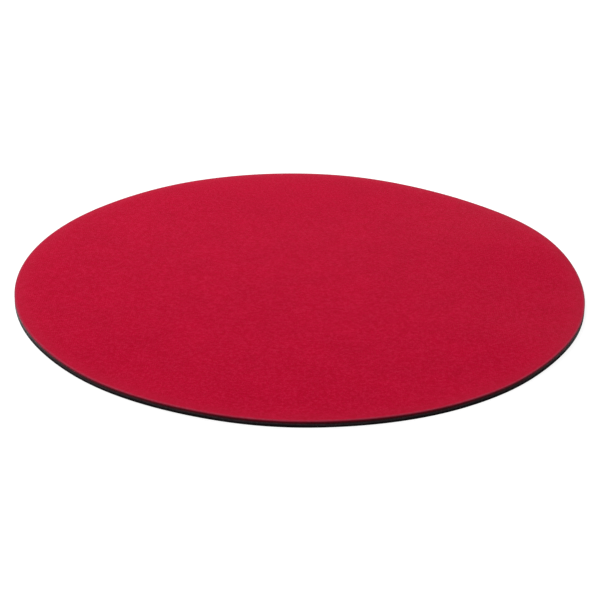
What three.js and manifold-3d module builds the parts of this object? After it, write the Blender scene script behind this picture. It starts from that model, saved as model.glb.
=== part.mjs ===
// A round cloth mouse pad. A knitted polyester face is bonded by a hot-melt film to a sheet of
// black sponge rubber, whose underside is embossed with a diamond grip. All three layers are cut
// to one outline by one stroke of a round die, which leaves the edges that are modelled here.
//
// Millimetres, +Z up. The origin is the centre of the underside, on the desk.

import * as THREE from "three";
import { mergeVertices } from "three/addons/utils/BufferGeometryUtils.js";
import Module from "manifold-3d";

const wasm = await Module();
wasm.setup();

// Driving dimensions of the whole pad
const padDiameter = 200;
const rubberThickness = 2;
const filmThickness = 0.1;
const clothThickness = 0.4;

// Cloth: the die enters from this side, draws the face down towards the cut and rolls the edge over
const clothEdgeRadius = 0.25;
const clothDrawWidth = 4;
const clothDrawDepth = 0.12;

// Rubber: the sheet bulges under the die, so the cut wall springs back slightly hollow
const rubberWallHollow = 0.15;
const rubberFootRadius = 0.2;

// Grip: two crossing sets of grooves leave rows of diamond lands inside a plain border
const gripBorder = 5;
const gripPitch = 9;
const gripGrooveMouth = 1.6;
const gripGrooveFloor = 0.7;
const gripGrooveDepth = 0.3;
const gripTurn = Math.PI / 4;

// How far a cutter runs past what it cuts
const cutOverrun = 1;

// Fineness of the facets
const rimFacets = 120;
const edgeSteps = 3;
const wallSteps = 4;

const padRadius = padDiameter / 2;
const filmBottom = rubberThickness;
const clothBottom = filmBottom + filmThickness;
const clothTop = clothBottom + clothThickness;

const clothMaterial = new THREE.MeshStandardMaterial({ color: 0xb71637, roughness: 0.92, metalness: 0 });
const filmMaterial = new THREE.MeshStandardMaterial({ color: 0x4f0310, roughness: 0.6, metalness: 0 });
const rubberMaterial = new THREE.MeshStandardMaterial({ color: 0x1a191b, roughness: 0.8, metalness: 0 });

// A disc turned about Z from the half section that a path draws, from its foot up to its top
function turned(section) {
  return new THREE.LatheGeometry(section, rimFacets).rotateX(Math.PI / 2);
}

// The points of a path with a given number of steps on each of its curves
function pointsAlong(path, steps) {
  return path.curves.flatMap((curve, place) => {
    const points = curve.isLineCurve ? curve.getPoints(1) : curve.getPoints(steps);
    return place === 0 ? points : points.slice(1);
  });
}

function solidFrom(geometry) {
  const bare = geometry.clone();
  bare.deleteAttribute("normal");
  bare.deleteAttribute("uv");
  const merged = mergeVertices(bare);
  const vertProperties = merged.attributes.position.array;
  const triVerts = new Uint32Array(merged.index.array);
  return new wasm.Manifold(new wasm.Mesh({ numProp: 3, vertProperties, triVerts }));
}

function geometryFrom(solid) {
  const mesh = solid.getMesh();
  const geometry = new THREE.BufferGeometry();
  geometry.setAttribute("position", new THREE.BufferAttribute(mesh.vertProperties, mesh.numProp));
  geometry.setIndex(new THREE.BufferAttribute(mesh.triVerts, 1));
  const faceted = geometry.toNonIndexed();
  faceted.computeVertexNormals();
  return faceted;
}

function named(name, geometry, material) {
  const mesh = new THREE.Mesh(geometry, material);
  mesh.name = name;
  return mesh;
}

// The cloth face, drawn down towards its rim, with its cut edge rolled over towards the rubber
function clothTopSheet() {
  const rollRadius = padRadius - clothEdgeRadius;
  const rollHeight = clothTop - clothDrawDepth - clothEdgeRadius;
  const section = new THREE.Path();
  section.moveTo(0, clothBottom);
  section.lineTo(padRadius, clothBottom);
  section.lineTo(padRadius, rollHeight);
  section.absarc(rollRadius, rollHeight, clothEdgeRadius, 0, Math.PI / 2);
  section.quadraticCurveTo(rollRadius - clothDrawWidth / 2, clothTop, rollRadius - clothDrawWidth, clothTop);
  section.lineTo(0, clothTop);
  return turned(pointsAlong(section, edgeSteps));
}

// The hot-melt film between the cloth and the rubber
function adhesiveFilm() {
  const section = new THREE.Path();
  section.moveTo(0, filmBottom);
  section.lineTo(padRadius, filmBottom);
  section.lineTo(padRadius, clothBottom);
  section.lineTo(0, clothBottom);
  return turned(pointsAlong(section, 1));
}

// One groove along X at an offset in Y, with its floor up inside the rubber and its mouth below
function gripGroove(length, offset) {
  const flare = (gripGrooveMouth - gripGrooveFloor) / gripGrooveDepth;
  const widthBelow = gripGrooveMouth + flare * cutOverrun;
  const section = new THREE.Shape();
  section.moveTo(-widthBelow / 2, -cutOverrun);
  section.lineTo(widthBelow / 2, -cutOverrun);
  section.lineTo(gripGrooveFloor / 2, gripGrooveDepth);
  section.lineTo(-gripGrooveFloor / 2, gripGrooveDepth);
  const groove = new THREE.ExtrudeGeometry(section, { depth: length, bevelEnabled: false });
  return groove.translate(offset, 0, -length / 2).rotateX(Math.PI / 2).rotateZ(Math.PI / 2);
}

// Every groove, both ways across, kept inside the border. The pattern has a land at its centre.
function gripCutter() {
  const fieldRadius = padRadius - gripBorder;
  const fieldHeight = 2 * (cutOverrun + gripGrooveDepth);
  const field = new THREE.CylinderGeometry(fieldRadius, fieldRadius, fieldHeight, rimFacets);
  const rows = Math.ceil(fieldRadius / gripPitch - 0.5);
  const grooves = [];
  for (let row = -rows; row < rows; row++) {
    const groove = gripGroove(2 * (fieldRadius + cutOverrun), (row + 0.5) * gripPitch);
    grooves.push(solidFrom(groove), solidFrom(groove.clone().rotateZ(Math.PI / 2)));
  }
  const crossed = grooves.reduce((joined, next) => joined.add(next));
  return crossed.intersect(solidFrom(field.rotateX(Math.PI / 2)));
}

// The rubber sheet: a hollowed wall over a small rounded foot, and the grip cut into its underside
function rubberBase() {
  const section = new THREE.Path();
  section.moveTo(0, 0);
  section.lineTo(padRadius - rubberFootRadius, 0);
  section.absarc(padRadius - rubberFootRadius, rubberFootRadius, rubberFootRadius, -Math.PI / 2, 0);
  const sheet = pointsAlong(section, edgeSteps);
  const wall = new THREE.QuadraticBezierCurve(
    new THREE.Vector2(padRadius, rubberFootRadius),
    new THREE.Vector2(padRadius - 2 * rubberWallHollow, (rubberFootRadius + rubberThickness) / 2),
    new THREE.Vector2(padRadius, rubberThickness),
  );
  sheet.push(...wall.getPoints(wallSteps).slice(1), new THREE.Vector2(0, rubberThickness));
  return geometryFrom(solidFrom(turned(sheet)).subtract(gripCutter())).rotateZ(gripTurn);
}

const pad = new THREE.Group();
pad.add(
  named("cloth_top", clothTopSheet(), clothMaterial),
  named("adhesive_film", adhesiveFilm(), filmMaterial),
  named("rubber_base", rubberBase(), rubberMaterial),
);

export default pad;
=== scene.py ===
# A round cloth mouse pad, lying on a white table top. Metres, +Z up, in the frame of the solids.
import math

import bmesh
import bpy
from mathutils import Matrix, Vector


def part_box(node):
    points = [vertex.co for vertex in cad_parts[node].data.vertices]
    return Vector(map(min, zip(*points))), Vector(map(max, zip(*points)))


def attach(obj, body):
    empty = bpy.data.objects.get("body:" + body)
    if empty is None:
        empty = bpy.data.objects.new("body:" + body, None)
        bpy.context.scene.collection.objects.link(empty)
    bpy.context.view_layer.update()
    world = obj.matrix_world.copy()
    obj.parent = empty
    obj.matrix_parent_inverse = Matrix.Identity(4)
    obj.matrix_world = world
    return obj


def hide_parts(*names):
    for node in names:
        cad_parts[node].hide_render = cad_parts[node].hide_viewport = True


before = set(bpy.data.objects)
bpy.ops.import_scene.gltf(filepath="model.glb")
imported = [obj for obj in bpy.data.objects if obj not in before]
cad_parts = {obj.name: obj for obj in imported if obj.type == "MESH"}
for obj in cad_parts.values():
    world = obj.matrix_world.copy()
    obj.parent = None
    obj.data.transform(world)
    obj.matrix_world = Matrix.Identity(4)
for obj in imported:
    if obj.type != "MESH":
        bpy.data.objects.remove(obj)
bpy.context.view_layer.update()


# The camera looks down at the pad from low on its near side, through a long lens. It is rolled by
# about a degree, so that the pad's right side hangs a little lower in the picture.
camera_lens = 120
camera_sensor = 36
camera_nearest = 0.01
camera_distance = 0.69915
camera_elevation = math.radians(25.893)
camera_roll = math.radians(1.108)
camera_aim = Vector((0.00013, -0.00925, 0))


def in_scene(name, data):
    """An object of the scene, made of a camera, a lamp or a mesh."""
    thing = bpy.data.objects.new(name, data)
    bpy.context.scene.collection.objects.link(thing)
    return thing


camera_data = bpy.data.cameras.new("camera")
camera_data.lens = camera_lens
camera_data.sensor_width = camera_sensor
camera_data.clip_start = camera_nearest
camera = in_scene("camera", camera_data)
camera.matrix_world = (
    Matrix.Translation(camera_aim)
    @ Matrix.Rotation(math.pi / 2 - camera_elevation, 4, "X")
    @ Matrix.Rotation(camera_roll, 4, "Z")
    @ Matrix.Translation((0, 0, camera_distance))
)
bpy.context.scene.camera = camera
bpy.context.scene.view_settings.view_transform = "Standard"


# The table top is a wide white sheet under the pad. What the camera sees of it, straight or in a
# gloss, is lifted to white by its own glow. The rest of its white is lit, so the shadow stays.
table_radius = 6
table_sides = 64
table_drop = 0.00005
table_white = (0.32, 0.32, 0.32, 1)
table_glow = 0.88


def object_from(name, shape):
    """An object of the scene, made of a finished bmesh."""
    data = bpy.data.meshes.new(name)
    shape.to_mesh(data)
    shape.free()
    return in_scene(name, data)


def new_material(piece, name):
    """The empty tree of a new material on a piece."""
    material = bpy.data.materials.new(name)
    material.use_nodes = True
    material.node_tree.nodes.clear()
    piece.data.materials.append(material)
    return material.node_tree


def add_node(tree, kind, sockets=(), **settings):
    """A node with its settings made and its sockets set, or wired where a socket is given."""
    node = tree.nodes.new(kind)
    for name, value in settings.items():
        setattr(node, name, value)
    for name, value in dict(sockets).items():
        if isinstance(value, bpy.types.NodeSocket):
            tree.links.new(value, node.inputs[name])
        else:
            node.inputs[name].default_value = value
    return node


def math_node(tree, operation, *values):
    """The result of one sum on numbers or sockets."""
    return add_node(tree, "ShaderNodeMath", enumerate(values), operation=operation).outputs[0]


def seen_directly(tree):
    """1 for what the camera sees straight, in a gloss or through glass, and 0 for the lit rays."""
    path = add_node(tree, "ShaderNodeLightPath").outputs
    straight_or_gloss = math_node(tree, "MAXIMUM", path["Is Camera Ray"], path["Is Glossy Ray"])
    return math_node(tree, "MAXIMUM", straight_or_gloss, path["Is Transmission Ray"])


table_mesh = bmesh.new()
bmesh.ops.create_circle(table_mesh, cap_ends=True, radius=table_radius, segments=table_sides)
bmesh.ops.translate(table_mesh, verts=table_mesh.verts, vec=(0, 0, -table_drop))
table_top = object_from("table_top", table_mesh)

tree = new_material(table_top, "table_white")
lit_white = add_node(tree, "ShaderNodeBsdfDiffuse", {"Color": table_white})
glow = math_node(tree, "MULTIPLY", seen_directly(tree), table_glow)
own_glow = add_node(tree, "ShaderNodeEmission", {"Strength": glow})
both = add_node(tree, "ShaderNodeAddShader", {0: lit_white.outputs[0], 1: own_glow.outputs[0]})
add_node(tree, "ShaderNodeOutputMaterial", {"Surface": both.outputs[0]})


# The room is a white studio, brighter towards its left side. A large soft lamp hangs behind the
# pad on the left, a second one fills from the near side, and the walls give the rest.
room_light = 0.47
room_left_share = 0.6
lamps = {
    "back_left_lamp": {"place": (-0.32, 0.62, 0.62), "side": 0.5, "watts": 6.3},
    "near_lamp": {"place": (-0.70, -0.80, 1.20), "side": 0.9, "watts": 6.3},
}

room = bpy.data.worlds.new("room")
bpy.context.scene.world = room
room.use_nodes = True
tree = room.node_tree
tree.nodes.clear()
facing = add_node(tree, "ShaderNodeTexCoord").outputs["Generated"]
across = add_node(tree, "ShaderNodeSeparateXYZ", {0: facing}).outputs["X"]
lit_walls = math_node(tree, "MULTIPLY_ADD", across, -room_left_share * room_light, room_light)
lit_or_seen = {"Value": seen_directly(tree), "To Min": lit_walls, "To Max": 1}
strength = add_node(tree, "ShaderNodeMapRange", lit_or_seen).outputs[0]
walls = add_node(tree, "ShaderNodeBackground", {"Strength": strength})
add_node(tree, "ShaderNodeOutputWorld", {"Surface": walls.outputs[0]})

for name, lamp in lamps.items():
    lamp_data = bpy.data.lights.new(name, "AREA")
    lamp_data.shape = "SQUARE"
    lamp_data.size = lamp["side"]
    lamp_data.energy = lamp["watts"]
    lamp_object = in_scene(name, lamp_data)
    lamp_object.visible_camera = False
    place = Vector(lamp["place"])
    towards_pad = place.to_track_quat("Z", "Y").to_matrix().to_4x4()
    lamp_object.matrix_world = Matrix.Translation(place) @ towards_pad


# The cloth is a red polyester knit, 0.4 mm thick, brushed to a fine even nap. The die that cut the
# pad came down on this side, so the edge is drawn down a little and rolled over at the cut.
cloth_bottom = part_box("cloth_top")[0].z
cloth_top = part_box("cloth_top")[1].z
pad_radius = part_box("cloth_top")[1].x
cloth_edge_radius = 0.00025
cloth_draw_width = 0.0040
cloth_draw_depth = 0.00012
face_rings = 34
edge_steps = 6
rim_steps = 360
weld_distance = 1e-6
layer_sharp_over = math.radians(60)

# The sheet is limp, so its rim doesn't lie quite flat: bearing, half width and height of each rise
rim_rises = (
    (math.radians(24), math.radians(28), 0.00108),
    (math.radians(84), math.radians(30), 0.00072),
    (math.radians(112), math.radians(28), 0.00052),
    (math.radians(214), math.radians(22), 0.00028),
    (math.radians(247), math.radians(26), 0.00040),
    (math.radians(279), math.radians(22), 0.00020),
    (math.radians(329), math.radians(18), 0.00044),
)
rise_start_share = 0.45

# Each piece is laid out on a square map, whose side is 1
map_centre = 0.5
map_face_radius = 0.455
map_ring_width = 0.03
map_corner_centre = 0.07
map_corner_radius = 0.06
map_wall_margin = 0.0003
map_bonded_under = -0.5


def arc_points(centre, radius, start, end, steps):
    """The points of an arc in a half section, from one angle to another."""
    out, up = centre
    turns = [start + (end - start) * step / steps for step in range(steps + 1)]
    return [(out + radius * math.cos(turn), up + radius * math.sin(turn)) for turn in turns]


def turned_sheet(section):
    """A bmesh turned about Z from a half section. Its runs over the face are cut into rings."""
    sheet = bmesh.new()
    corners = [sheet.verts.new((radius, 0, height)) for radius, height in section]
    runs = [sheet.edges.new(pair) for pair in zip(corners, corners[1:])]
    wide = [run for run in runs if run.calc_length() > pad_radius / 2]
    bmesh.ops.subdivide_edges(sheet, edges=wide, cuts=face_rings - 1)
    bmesh.ops.spin(
        sheet, geom=sheet.verts[:] + sheet.edges[:], cent=(0, 0, 0), axis=(0, 0, 1),
        angle=2 * math.pi, steps=rim_steps, use_merge=True,
    )
    bmesh.ops.remove_doubles(sheet, verts=sheet.verts, dist=weld_distance)
    return sheet


def rim_rise(x, y):
    """How far the limp sheet lies above the table at a place. Each rise grows evenly outwards."""
    spread = (math.hypot(x, y) / pad_radius - rise_start_share) / (1 - rise_start_share)
    if spread <= 0:
        return 0
    total = 0
    for bearing, half_width, height in rim_rises:
        off = math.remainder(math.atan2(y, x) - bearing, 2 * math.pi)
        if abs(off) < half_width:
            total += height * math.cos(off / half_width * math.pi / 2) ** 2
    return total * spread * spread * (3 - 2 * spread)


def lay_out_on_map(sheet, seen_height):
    """Lays the faces out on a map: the seen face as a disc, the cut wall as a ring round it, and
    the face that is bonded to the next layer small in a corner."""
    heights = [vert.co.z for vert in sheet.verts]
    seen_side = 1 if seen_height == max(heights) else -1
    ring_start = pad_radius - map_wall_margin
    ring_run = map_wall_margin + max(heights) - min(heights)
    layout = sheet.loops.layers.uv.new("OFBake")
    for face in sheet.faces:
        bonded = face.normal.z * seen_side < map_bonded_under
        for loop in face.loops:
            x, y, z = loop.vert.co
            reach = math.hypot(x, y)
            if bonded:
                centre, side = map_corner_centre, -seen_side
                radial = map_corner_radius * reach / pad_radius
            else:
                centre, side = map_centre, seen_side
                past_start = reach - ring_start + abs(z - seen_height) if reach > ring_start else 0
                radial = map_face_radius * min(reach / ring_start, 1)
                radial += map_ring_width * past_start / ring_run
            spread = radial / reach if reach else 0
            loop[layout].uv = (centre + side * spread * x, centre + spread * y)


def laid_piece(name, sheet, seen_height, sharp_over):
    """The finished piece: closed, facing out, lying with its rim's rises, and riding on the pad.

    Each point keeps its height in the flat sheet as an attribute, for what follows the layers.
    """
    bmesh.ops.recalc_face_normals(sheet, faces=sheet.faces)
    lay_out_on_map(sheet, seen_height)
    flat_height = sheet.verts.layers.float.new("flat_height")
    for vert in sheet.verts:
        vert[flat_height] = vert.co.z
        vert.co.z += rim_rise(vert.co.x, vert.co.y)
    for face in sheet.faces:
        face.smooth = True
    piece = object_from(name, sheet)
    piece.data.set_sharp_from_angle(angle=sharp_over)
    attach(piece, "root")
    return piece


def cloth_section():
    """The cloth's half section: flat over the rubber, drawn down to the rim, rolled at the cut."""
    roll_top = cloth_top - cloth_draw_depth
    roll_centre = (pad_radius - cloth_edge_radius, roll_top - cloth_edge_radius)
    section = [(0, cloth_bottom), (pad_radius, cloth_bottom)]
    section += arc_points(roll_centre, cloth_edge_radius, 0, math.pi / 2, edge_steps)
    for step in range(1, edge_steps + 1):
        share = step / edge_steps
        inwards = cloth_edge_radius + cloth_draw_width * share
        section.append((pad_radius - inwards, cloth_top - cloth_draw_depth * (1 - share) ** 2))
    return section + [(0, cloth_top)]


cloth = laid_piece("cloth_face", turned_sheet(cloth_section()), cloth_top, layer_sharp_over)

# The brushed face: red yarn, with painted shade down in the nap's hollows and a painted highlight
# on the lit fibres of its crests
cloth_red = (0.500, 0.0006, 0.0290, 1)
cloth_nap_shade_red = (0.463, 0.0001, 0.0212, 1)
cloth_lit_fibre = (0.541, 0.0062, 0.0415, 1)
cloth_roughness = 0.9
cloth_gloss = 0.0
cloth_sheen = 0.67
cloth_sheen_roughness = 0.25
sheen_white = (1, 1, 1, 1)
nap_size = 0.0010
nap_height = 0.000018
nap_hollows = (0.38, 0.50)
nap_crests = (0.50, 0.64)
blotch_size = 0.014
blotch_shade = 0.04

# The knit under the nap, in columns along Y
stitch_width = 0.00075
stitch_length = 0.00050
stitch_slant = 1.5
stitch_height = 0.000028
stitch_waver = 0.0008
stitch_waver_size = 0.005
fibres_across_leg = 6
fibres_along_leg = 2
fibre_column_step = 1.7
fibre_height = 0.000010
fibre_shade = 0.08

# The rim: towards it the nap is painted paler, a painted sheen of the nap that the die's stroke
# raised. The crest of the cut is frayed and painted paler, partly its fibre ends and partly a
# painted highlight on the rolled edge, and the lowest of the cut is painted darker as painted
# shade
cloth_pale_rim_sheen = (0.500, 0.0130, 0.0400, 1)
cloth_raised_nap_sheen = (0.500, 0.0170, 0.0480, 1)
cloth_frayed_highlight_red = (0.400, 0.0390, 0.0750, 1)
cloth_cut_shade_red = (0.320, 0.0100, 0.0320, 1)
pale_rim_start = pad_radius - 0.0160
pale_rim_share = 0.15
raised_nap_start = pad_radius - 0.0060
raised_nap_end = pad_radius - 0.0010
raised_nap_share = 0.27
frayed_width = 0.0010
frayed_nap = (0.4, 0.6)
frayed_least = 0.5
cut_shade_height = 0.00010

# What an even grain runs between: nearly all of it, and the common middle of it
grain_whole = (0.3, 0.7)
grain_middle = (0.35, 0.65)


def ranged(tree, value, low, high, to_low, to_high, **settings):
    """A value moved from one range to another, and kept in it."""
    sockets = {
        "Value": value, "From Min": low, "From Max": high, "To Min": to_low, "To Max": to_high,
    }
    return add_node(tree, "ShaderNodeMapRange", sockets, **settings).outputs[0]


def eased(tree, value, low, high, to_low, to_high):
    """The same with an even start and end."""
    return ranged(tree, value, low, high, to_low, to_high, interpolation_type="SMOOTHSTEP")


def give_or_take(tree, grain, span, share):
    """A factor that goes with the grain, up to a share below and above 1."""
    return ranged(tree, grain, *span, 1 - share, 1 + share)


def noise(tree, place, size, detail=2.0, roughness=0.5):
    """Even random grain of a real size."""
    sockets = {"Vector": place, "Scale": 1 / size, "Detail": detail, "Roughness": roughness}
    return add_node(tree, "ShaderNodeTexNoise", sockets).outputs["Fac"]


def blend(tree, share, first, second):
    """A colour between two colours or sockets, which are a Mix node's inputs 6 and 7."""
    sockets = {0: share, 6: first, 7: second}
    return add_node(tree, "ShaderNodeMix", sockets, data_type="RGBA").outputs[2]


def shaded(tree, colour, shade):
    """A colour made darker or paler by a factor."""
    sockets = {0: colour, "Scale": shade}
    return add_node(tree, "ShaderNodeVectorMath", sockets, operation="SCALE").outputs[0]


def rounded_ridge(tree, across):
    """1 in the middle of a ridge, falling in a round to 0 at both its sides."""
    off = math_node(tree, "MULTIPLY_ADD", across, 2, -1)
    return math_node(tree, "SUBTRACT", 1, math_node(tree, "MULTIPLY", off, off))


def wavered(tree, place, size, amount):
    """The place moved a little to and fro, so that what is laid out on it wavers as cloth does."""
    swirl = add_node(tree, "ShaderNodeTexNoise", {"Vector": place, "Scale": 1 / size})
    sockets = {0: swirl.outputs["Color"], 1: (0.5, 0.5, 0.5)}
    swing = add_node(tree, "ShaderNodeVectorMath", sockets, operation="SUBTRACT")
    sockets = {0: swing.outputs[0], 1: (amount, amount, amount), 2: place}
    return add_node(tree, "ShaderNodeVectorMath", sockets, operation="MULTIPLY_ADD").outputs[0]


def knit_stitches(tree, place):
    """A plain knit: columns along Y of V stitches, whose two legs are rounded ridges of yarn.

    Gives the height of the ridges, and the grain of the fibres that run along the legs.
    """
    axes = add_node(tree, "ShaderNodeSeparateXYZ", {0: place}).outputs
    across = math_node(tree, "DIVIDE", axes["X"], stitch_width)
    along = math_node(tree, "DIVIDE", axes["Y"], stitch_length)
    from_middle = math_node(tree, "SUBTRACT", math_node(tree, "FRACT", across), 0.5)
    from_middle = math_node(tree, "ABSOLUTE", from_middle)
    slanted = math_node(tree, "MULTIPLY_ADD", from_middle, stitch_slant, along)
    leg = rounded_ridge(tree, math_node(tree, "FRACT", slanted))
    side = rounded_ridge(tree, math_node(tree, "MULTIPLY", from_middle, 2))
    fibre_place = {
        "X": math_node(tree, "MULTIPLY", slanted, fibres_across_leg),
        "Y": math_node(tree, "MULTIPLY", from_middle, fibres_along_leg),
        "Z": math_node(tree, "MULTIPLY", math_node(tree, "FLOOR", across), fibre_column_step),
    }
    fibres = noise(tree, add_node(tree, "ShaderNodeCombineXYZ", fibre_place).outputs[0], 1)
    return math_node(tree, "MULTIPLY", leg, side), fibres


def layer_places(tree):
    """The place on a layer, its distance from the pad's axis, and its height in the flat layer."""
    place = add_node(tree, "ShaderNodeTexCoord").outputs["Object"]
    flat = add_node(tree, "ShaderNodeVectorMath", {0: place, 1: (1, 1, 0)}, operation="MULTIPLY")
    reach = add_node(tree, "ShaderNodeVectorMath", {0: flat.outputs[0]}, operation="LENGTH")
    flat_height = add_node(tree, "ShaderNodeAttribute", attribute_name="flat_height")
    return place, reach.outputs["Value"], flat_height.outputs["Fac"]


def bumped(tree, height, distance, under=None):
    """The normal of a relief of a real height, over another where one is given."""
    sockets = {"Height": height, "Distance": distance, "Strength": 1.0}
    if under is not None:
        sockets["Normal"] = under
    return add_node(tree, "ShaderNodeBump", sockets).outputs["Normal"]


def finished(tree, sockets):
    """Leads the surface itself, with its sockets set or wired, to the material's output."""
    surface = add_node(tree, "ShaderNodeBsdfPrincipled", sockets)
    add_node(tree, "ShaderNodeOutputMaterial", {"Surface": surface.outputs[0]})


tree = new_material(cloth, "red_knit")
place, reach, flat_height = layer_places(tree)
stitches, fibres = knit_stitches(tree, wavered(tree, place, stitch_waver_size, stitch_waver))
nap = noise(tree, place, nap_size, detail=3, roughness=0.7)
blotches = noise(tree, place, blotch_size, detail=4, roughness=0.6)

# Painted shade in the nap's hollows and a painted highlight on its crests, on the grain of its
# bump
red = blend(tree, ranged(tree, nap, *nap_hollows, 1, 0), cloth_red, cloth_nap_shade_red)
red = blend(tree, ranged(tree, nap, *nap_crests, 0, 1), red, cloth_lit_fibre)
blotch_factor = give_or_take(tree, blotches, grain_whole, blotch_shade)
fibre_factor = give_or_take(tree, fibres, grain_middle, fibre_shade)
red = shaded(tree, red, math_node(tree, "MULTIPLY", blotch_factor, fibre_factor))

# Paler towards the rim: painted sheen of the raised nap
painted_rim_sheen = eased(tree, reach, pale_rim_start, pad_radius, 0, pale_rim_share)
red = blend(tree, painted_rim_sheen, red, cloth_pale_rim_sheen)
painted_nap_sheen = eased(tree, reach, raised_nap_start, raised_nap_end, 0, raised_nap_share)
red = blend(tree, painted_nap_sheen, red, cloth_raised_nap_sheen)
# The frayed crest: paler fibre ends, with a painted highlight on the rolled edge
frayed_highlight = eased(tree, reach, pad_radius - frayed_width, pad_radius - cloth_edge_radius, 0, 1)
frayed_highlight = math_node(tree, "MULTIPLY", frayed_highlight, ranged(tree, nap, *frayed_nap, frayed_least, 1))
red = blend(tree, frayed_highlight, red, cloth_frayed_highlight_red)
# Painted shade on the lowest of the cut
lowest_cut_shade = ranged(tree, flat_height, cloth_bottom, cloth_bottom + cut_shade_height, 1, 0)
red = blend(tree, lowest_cut_shade, red, cloth_cut_shade_red)

relief = bumped(tree, stitches, stitch_height)
relief = bumped(tree, fibres, fibre_height, relief)
relief = bumped(tree, nap, nap_height, relief)
finished(tree, {
    "Base Color": red, "Normal": relief,
    "Roughness": cloth_roughness, "Specular IOR Level": cloth_gloss,
    "Sheen Weight": cloth_sheen, "Sheen Roughness": cloth_sheen_roughness,
    "Sheen Tint": sheen_white,
})

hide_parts("cloth_top")


# The film is the hot melt that bonds the cloth to the rubber. It shows only as a hair line at the
# cut, painted a dark red streaked darker: painted shade of the cut under the cloth's rolled edge.
film_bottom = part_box("adhesive_film")[0].z
film_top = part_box("adhesive_film")[1].z
film_hollow = 0.00003
film_edge_steps = 6


def hollow_edge(bottom, top, hollow, steps):
    """The points of a cut edge, from its bottom to its top, that sprang back hollow."""
    edge = []
    for step in range(steps + 1):
        share = step / steps
        inwards = 4 * share * (1 - share) * hollow
        edge.append((pad_radius - inwards, bottom + share * (top - bottom)))
    return edge


film_edge = hollow_edge(film_bottom, film_top, film_hollow, film_edge_steps)
film_sheet = turned_sheet([(0, film_bottom), *film_edge, (0, film_top)])
film = laid_piece("film_layer", film_sheet, film_top, layer_sharp_over)

film_shade_red = (0.260, 0.0050, 0.0230, 1)
film_deep_shade = (0.140, 0.0030, 0.0130, 1)
film_roughness = (0.45, 0.75)
film_gloss = 0.1
film_streak_size = 0.0015

tree = new_material(film, "hot_melt")
place = add_node(tree, "ShaderNodeTexCoord").outputs["Object"]
streak = noise(tree, place, film_streak_size)
# The film's colour is painted shade, streaked darker
finished(tree, {
    "Base Color": blend(tree, ranged(tree, streak, *grain_middle, 0, 1), film_shade_red, film_deep_shade),
    "Roughness": ranged(tree, streak, *grain_middle, *film_roughness),
    "Specular IOR Level": film_gloss,
})

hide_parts("adhesive_film")


# The base is a 2 mm sheet of black sponge rubber. Its cut wall sprang back hollow over a small
# foot, and its underside was embossed with diamond lands by the belt that it was cured on.
rubber_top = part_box("rubber_base")[1].z
rubber_foot_radius = 0.0002
rubber_wall_hollow = 0.00015
wall_steps = 10
grip_border = 0.005
grip_pitch = 0.009
grip_turn = math.radians(45)
grip_groove_mouth = 0.0016
grip_groove_floor = 0.0007
grip_groove_depth = 0.0003
grip_edge_round = 0.00012
grip_edge_segments = 2
grip_facets = 120
grip_sharp_over = math.radians(30)


def wall_section():
    """The half section of the rubber outside the grip: border, foot, hollow wall and top."""
    foot_centre = (pad_radius - rubber_foot_radius, rubber_foot_radius)
    foot = arc_points(foot_centre, rubber_foot_radius, -math.pi / 2, 0, edge_steps)
    wall = hollow_edge(rubber_foot_radius, rubber_top, rubber_wall_hollow, wall_steps)
    return [*foot, *wall[1:], (0, rubber_top)]


def grip_field():
    """The embossed lands, from a grid whose squares are inset twice, trimmed to a round outline.

    The outline is dropped to the level of the lands, which is that of the plain border.
    """
    field_radius = pad_radius - grip_border
    cells = 2 * math.ceil(field_radius / grip_pitch) + 1
    field = bmesh.new()
    bmesh.ops.create_grid(field, x_segments=cells, y_segments=cells, size=cells * grip_pitch / 2)
    lands = field.faces[:]
    bmesh.ops.inset_individual(field, faces=lands, thickness=grip_groove_floor / 2)
    rounded_edges = {edge for land in lands for edge in land.edges}
    slope = (grip_groove_mouth - grip_groove_floor) / 2
    bmesh.ops.inset_individual(field, faces=lands, thickness=slope, depth=-grip_groove_depth)
    rounded_edges |= {edge for land in lands for edge in land.edges}
    bmesh.ops.bevel(
        field, geom=[edge for edge in field.edges if edge in rounded_edges],
        offset=grip_edge_round, offset_type="OFFSET", segments=grip_edge_segments,
        profile=0.5, affect="EDGES", material=-1,
    )
    turn = Matrix.Rotation(grip_turn, 3, "Z")
    bmesh.ops.translate(field, verts=field.verts, vec=(0, 0, grip_groove_depth))
    bmesh.ops.rotate(field, verts=field.verts, cent=(0, 0, 0), matrix=turn)
    for facet in range(grip_facets):
        outwards = Matrix.Rotation(2 * math.pi * facet / grip_facets, 3, "Z") @ Vector((1, 0, 0))
        bmesh.ops.bisect_plane(
            field, geom=field.verts[:] + field.edges[:] + field.faces[:],
            plane_co=outwards * field_radius, plane_no=outwards, clear_outer=True,
        )
    rim = [edge for edge in field.edges if edge.is_boundary]
    dropped = bmesh.ops.extrude_edge_only(field, edges=rim)["geom"]
    for vert in dropped:
        if isinstance(vert, bmesh.types.BMVert):
            vert.co.z = 0
    bmesh.ops.remove_doubles(field, verts=field.verts, dist=weld_distance)
    return field


rubber_mesh = turned_sheet(wall_section())
grip_mesh = grip_field()
grip_data = bpy.data.meshes.new("grip")
grip_mesh.to_mesh(grip_data)
grip_mesh.free()
rubber_mesh.from_mesh(grip_data)
bpy.data.meshes.remove(grip_data)
open_edges = [edge for edge in rubber_mesh.edges if edge.is_boundary]
bmesh.ops.bridge_loops(rubber_mesh, edges=open_edges)
rubber = laid_piece("rubber_sheet", rubber_mesh, 0, grip_sharp_over)

# The moulded skin underneath, with the print of the belt's woven liner, worn grey on the lands
rubber_skin_black = (0.0110, 0.0085, 0.0095, 1)
rubber_worn_grey = (0.0300, 0.0280, 0.0290, 1)
skin_roughness = 0.62
skin_grain_size = 0.0005
skin_grain_height = 0.000012
liner_pitch = 0.0009
liner_height = 0.000008
wear_height = grip_groove_depth / 3
wear_size = 0.006
wear_patches = (0.42, 0.72)
wear_most = 0.6
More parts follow.
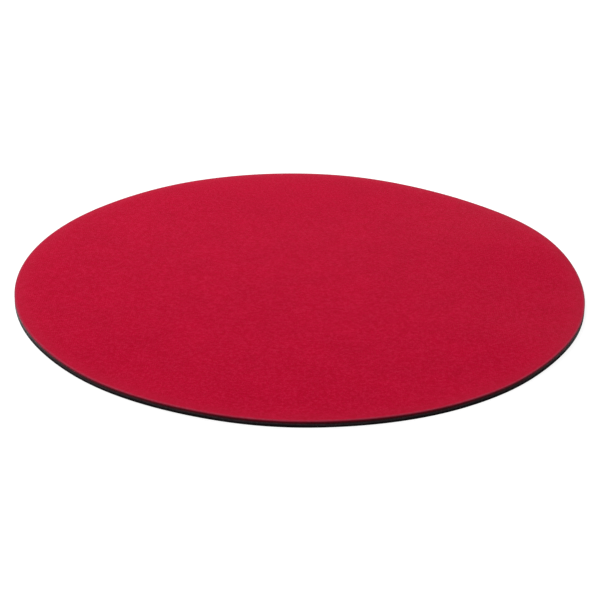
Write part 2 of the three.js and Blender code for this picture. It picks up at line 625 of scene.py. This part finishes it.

# The cut wall, with its opened cells, whose mouths are painted darker as painted shade, the greyer
# line along its core, and lint from the cloth
rubber_cut_black = (0.0085, 0.0066, 0.0073, 1)
rubber_core_grey = (0.0530, 0.0350, 0.0405, 1)
rubber_pore_shade = (0.0030, 0.0022, 0.0025, 1)
rubber_lint_red = (0.2350, 0.0012, 0.0165, 1)
wall_roughness = 0.9
core_middle = 0.00105
core_half_height = 0.00045
core_waver = 0.00020
core_waver_size = 0.015
cut_grain_size = 0.0008
cut_grain_shade = 0.25
lint_height = 0.00100
lint_size = 0.00022
lint_flecks = (0.38, 0.62)
lint_least = 0.25
pore_size = 0.00035
pore_mouth = (0.15, 0.45)
pore_depth = 0.00003

# What the skin and the wall share
rubber_gloss = 0.08
rubber_sheen = 0.45
rubber_sheen_roughness = 0.3


def pores(tree, place, size):
    """The round mouths of cut sponge cells, from 0 in their middles up to 1 between them."""
    cells = add_node(tree, "ShaderNodeTexVoronoi", {"Vector": place, "Scale": 1 / size})
    return eased(tree, cells.outputs["Distance"], *pore_mouth, 0, 1)


def woven_print(tree, place, pitch):
    """The print of a plain weave, from -1 in its hollows up to 1 on its crests."""
    axes = add_node(tree, "ShaderNodeSeparateXYZ", {0: place}).outputs
    threads = [
        math_node(tree, "SINE", math_node(tree, "MULTIPLY", axes[name], 2 * math.pi / pitch))
        for name in ("X", "Y")
    ]
    return math_node(tree, "MULTIPLY", *threads)


tree = new_material(rubber, "black_sponge_rubber")
place, reach, flat_height = layer_places(tree)
foot_start = pad_radius - rubber_foot_radius
on_wall = ranged(tree, reach, foot_start - rubber_foot_radius, foot_start, 0, 1)
on_skin = math_node(tree, "SUBTRACT", 1, on_wall)

worn = eased(tree, flat_height, 0, wear_height, 1, 0)
patches = eased(tree, noise(tree, place, wear_size, detail=4), *wear_patches, 0, wear_most)
worn = math_node(tree, "MULTIPLY", worn, patches)
skin = blend(tree, worn, rubber_skin_black, rubber_worn_grey)

wander = noise(tree, place, core_waver_size)
middle = ranged(tree, wander, *grain_whole, core_middle - core_waver, core_middle + core_waver)
from_core = math_node(tree, "ABSOLUTE", math_node(tree, "SUBTRACT", flat_height, middle))
core = eased(tree, from_core, 0, core_half_height, 1, 0)
cut = blend(tree, core, rubber_cut_black, rubber_core_grey)
cut_grain = noise(tree, place, cut_grain_size, detail=4)
cut = shaded(tree, cut, give_or_take(tree, cut_grain, grain_middle, cut_grain_shade))
mouths = pores(tree, place, pore_size)
# The cells' mouths are painted darker: painted shade in their hollows
cut = blend(tree, mouths, rubber_pore_shade, cut)
lint = eased(tree, flat_height, rubber_top - lint_height, rubber_top, 0, 1)
flecks = eased(tree, noise(tree, place, lint_size), *lint_flecks, lint_least, 1)
cut = blend(tree, math_node(tree, "MULTIPLY", lint, flecks), cut, rubber_lint_red)

skin_grain = noise(tree, place, skin_grain_size)
liner = math_node(tree, "MULTIPLY", woven_print(tree, place, liner_pitch), on_skin)
open_cells = math_node(tree, "MULTIPLY", mouths, on_wall)
relief = bumped(tree, skin_grain, skin_grain_height)
relief = bumped(tree, liner, liner_height, relief)
relief = bumped(tree, open_cells, pore_depth, relief)
finished(tree, {
    "Base Color": blend(tree, on_wall, skin, cut), "Normal": relief,
    "Roughness": ranged(tree, on_wall, 0, 1, skin_roughness, wall_roughness),
    "Specular IOR Level": rubber_gloss,
    "Sheen Weight": rubber_sheen, "Sheen Roughness": rubber_sheen_roughness,
    "Sheen Tint": sheen_white,
})

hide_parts("rubber_base")
